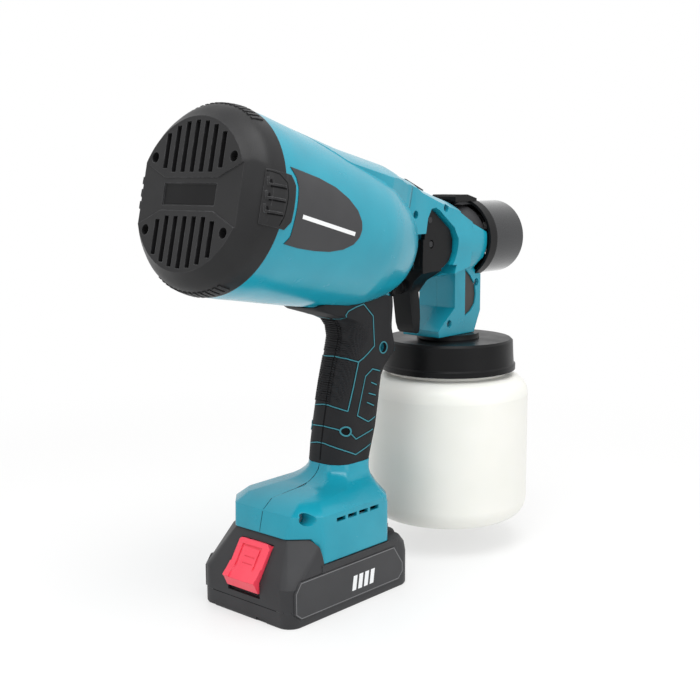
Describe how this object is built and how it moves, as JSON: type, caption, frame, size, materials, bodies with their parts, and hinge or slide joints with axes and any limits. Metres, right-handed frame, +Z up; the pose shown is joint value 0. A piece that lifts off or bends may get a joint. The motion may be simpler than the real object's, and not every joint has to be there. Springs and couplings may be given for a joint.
{
  "type": "cordless paint sprayer",
  "caption": "Cordless turbine paint sprayer with drum-shaped blower, pistol grip, slide-on battery, detachable spray head, adjustable nozzle and screw-on paint cup.",
  "frame": {"origin": "centre of the underside of the battery, on the surface the gun stands on", "axes": "+X the way the gun sprays, +Y to the left of the gun, +Z up"},
  "size_m": [0.2917, 0.1096, 0.2896],
  "materials": {
    "teal": "satin moulded shell",
    "black": "fine-textured moulding",
    "charcoal": "smooth inlay",
    "rubber": "ribbed soft grip",
    "red": "satin",
    "steel": "machined",
    "gunmetal": "satin dark grey",
    "aluminium": "machined",
    "brass": "turned",
    "copper": "enamelled windings",
    "board": "solder mask",
    "wrap": "shrink wrap",
    "foam": "open-cell foam",
    "seal": "smooth seal",
    "fluoro": "packing",
    "clear": "translucent tube",
    "cup": "milky translucent",
    "wire": "insulation",
    "magnet": "coated magnet",
    "mesh": "open grille"
  },
  "bodies": {
    "gun": {"housing_right": "teal", "housing_left": "teal", "grip_right": "rubber", "grip_left": "rubber", "side_badges": "charcoal", "rear_cap": "black", "cap_screws": "steel", "intake_filter": "foam", "motor_can": "steel", "motor_stator": "copper", "motor_bearings": "steel", "motor_mount": "charcoal", "fan_shroud": "charcoal", "air_duct": "charcoal", "duct_seal": "rubber", "control_board": "board", "terminal_block": "charcoal", "switch_body": "black", "wiring": "wire", "housing_screws": "steel"},
    "rotor": {"motor_rotor": "magnet", "motor_shaft": "steel", "impeller": "charcoal"},
    "switch": {"switch_plunger": "black"},
    "head": {"head_right": "teal", "head_left": "teal", "head_vents": "mesh", "head_screws": "steel", "fluid_body": "aluminium", "fluid_nozzle": "brass", "nozzle_cone": "black", "needle_spring": "steel", "needle_packing": "fluoro", "trigger_pin": "steel", "release_spring": "steel", "cup_neck": "black", "lid": "black", "lid_gasket": "seal", "pickup_tube": "clear", "pickup_strainer": "seal"},
    "trigger": {"trigger": "black"},
    "needle": {"needle": "steel", "needle_crosspin": "steel"},
    "pattern": {"pattern_collar": "black", "nozzle_shroud": "gunmetal", "air_cap": "charcoal"},
    "release": {"release_button": "black"},
    "cup": {"cup": "cup"},
    "battery": {"battery_case_lower": "black", "battery_case_upper": "black", "battery_side_panels": "charcoal", "battery_cells": "wrap", "battery_cell_holder": "charcoal", "battery_board": "board", "battery_contacts": "brass", "battery_latch_spring": "steel", "battery_screws": "steel"},
    "latch": {"battery_latch_button": "red"}
  },
  "joints": [
    {"name": "head_slide", "type": "slide", "parent": "gun", "child": "head", "axis": [1, 0, 0], "range_m": [0, 0.03]},
    {"name": "trigger_pull", "type": "hinge", "parent": "head", "child": "trigger", "pos_m": [0.0914, 0, 0.2233], "axis": [0, 1, 0], "range_deg": [0, 15], "stiffness_Nm_per_rad": 1.2, "springref_deg": -6.88},
    {"name": "needle_draw", "type": "slide", "parent": "head", "child": "needle", "axis": [-1, 0, 0], "range_m": [0, 0.0042], "deforming": ["needle_spring"]},
    {"name": "switch_press", "type": "slide", "parent": "gun", "child": "switch", "axis": [-0.975, 0, 0.2222], "range_m": [0, 0.0062]},
    {"name": "rotor_spin", "type": "hinge", "parent": "gun", "child": "rotor", "pos_m": [0.06, 0, 0.2086], "axis": [0.975, 0, -0.2222], "continuous": true},
    {"name": "pattern_turn", "type": "hinge", "parent": "head", "child": "pattern", "pos_m": [0.155, 0, 0.2085], "axis": [1, 0, 0], "range_deg": [-45, 45]},
    {"name": "release_press", "type": "slide", "parent": "head", "child": "release", "axis": [-0.2222, 0, -0.975], "range_m": [0, 0.003], "stiffness_N_per_m": 900, "springref_m": -0.003, "deforming": ["release_spring"]},
    {"name": "cup_unscrew", "type": "hinge", "parent": "head", "child": "cup", "pos_m": [0.1399, 0, 0.12], "axis": [0, 0, -1], "range_deg": [0, 360]},
    {"name": "battery_slide", "type": "slide", "parent": "gun", "child": "battery", "axis": [-1, 0, 0], "range_m": [0, 0.055]},
    {"name": "battery_latch", "type": "slide", "parent": "battery", "child": "latch", "axis": [-0.5299, 0, -0.848], "range_m": [0, 0.003], "stiffness_N_per_m": 900, "springref_m": -0.003, "deforming": ["battery_latch_spring"]}
  ],
  "couplings": [
    {"joint": "needle_draw", "follows": "trigger_pull", "m_per_rad": 0.0154},
    {"joint": "switch_press", "follows": "trigger_pull", "m_per_rad": 0.0229}
  ]
}
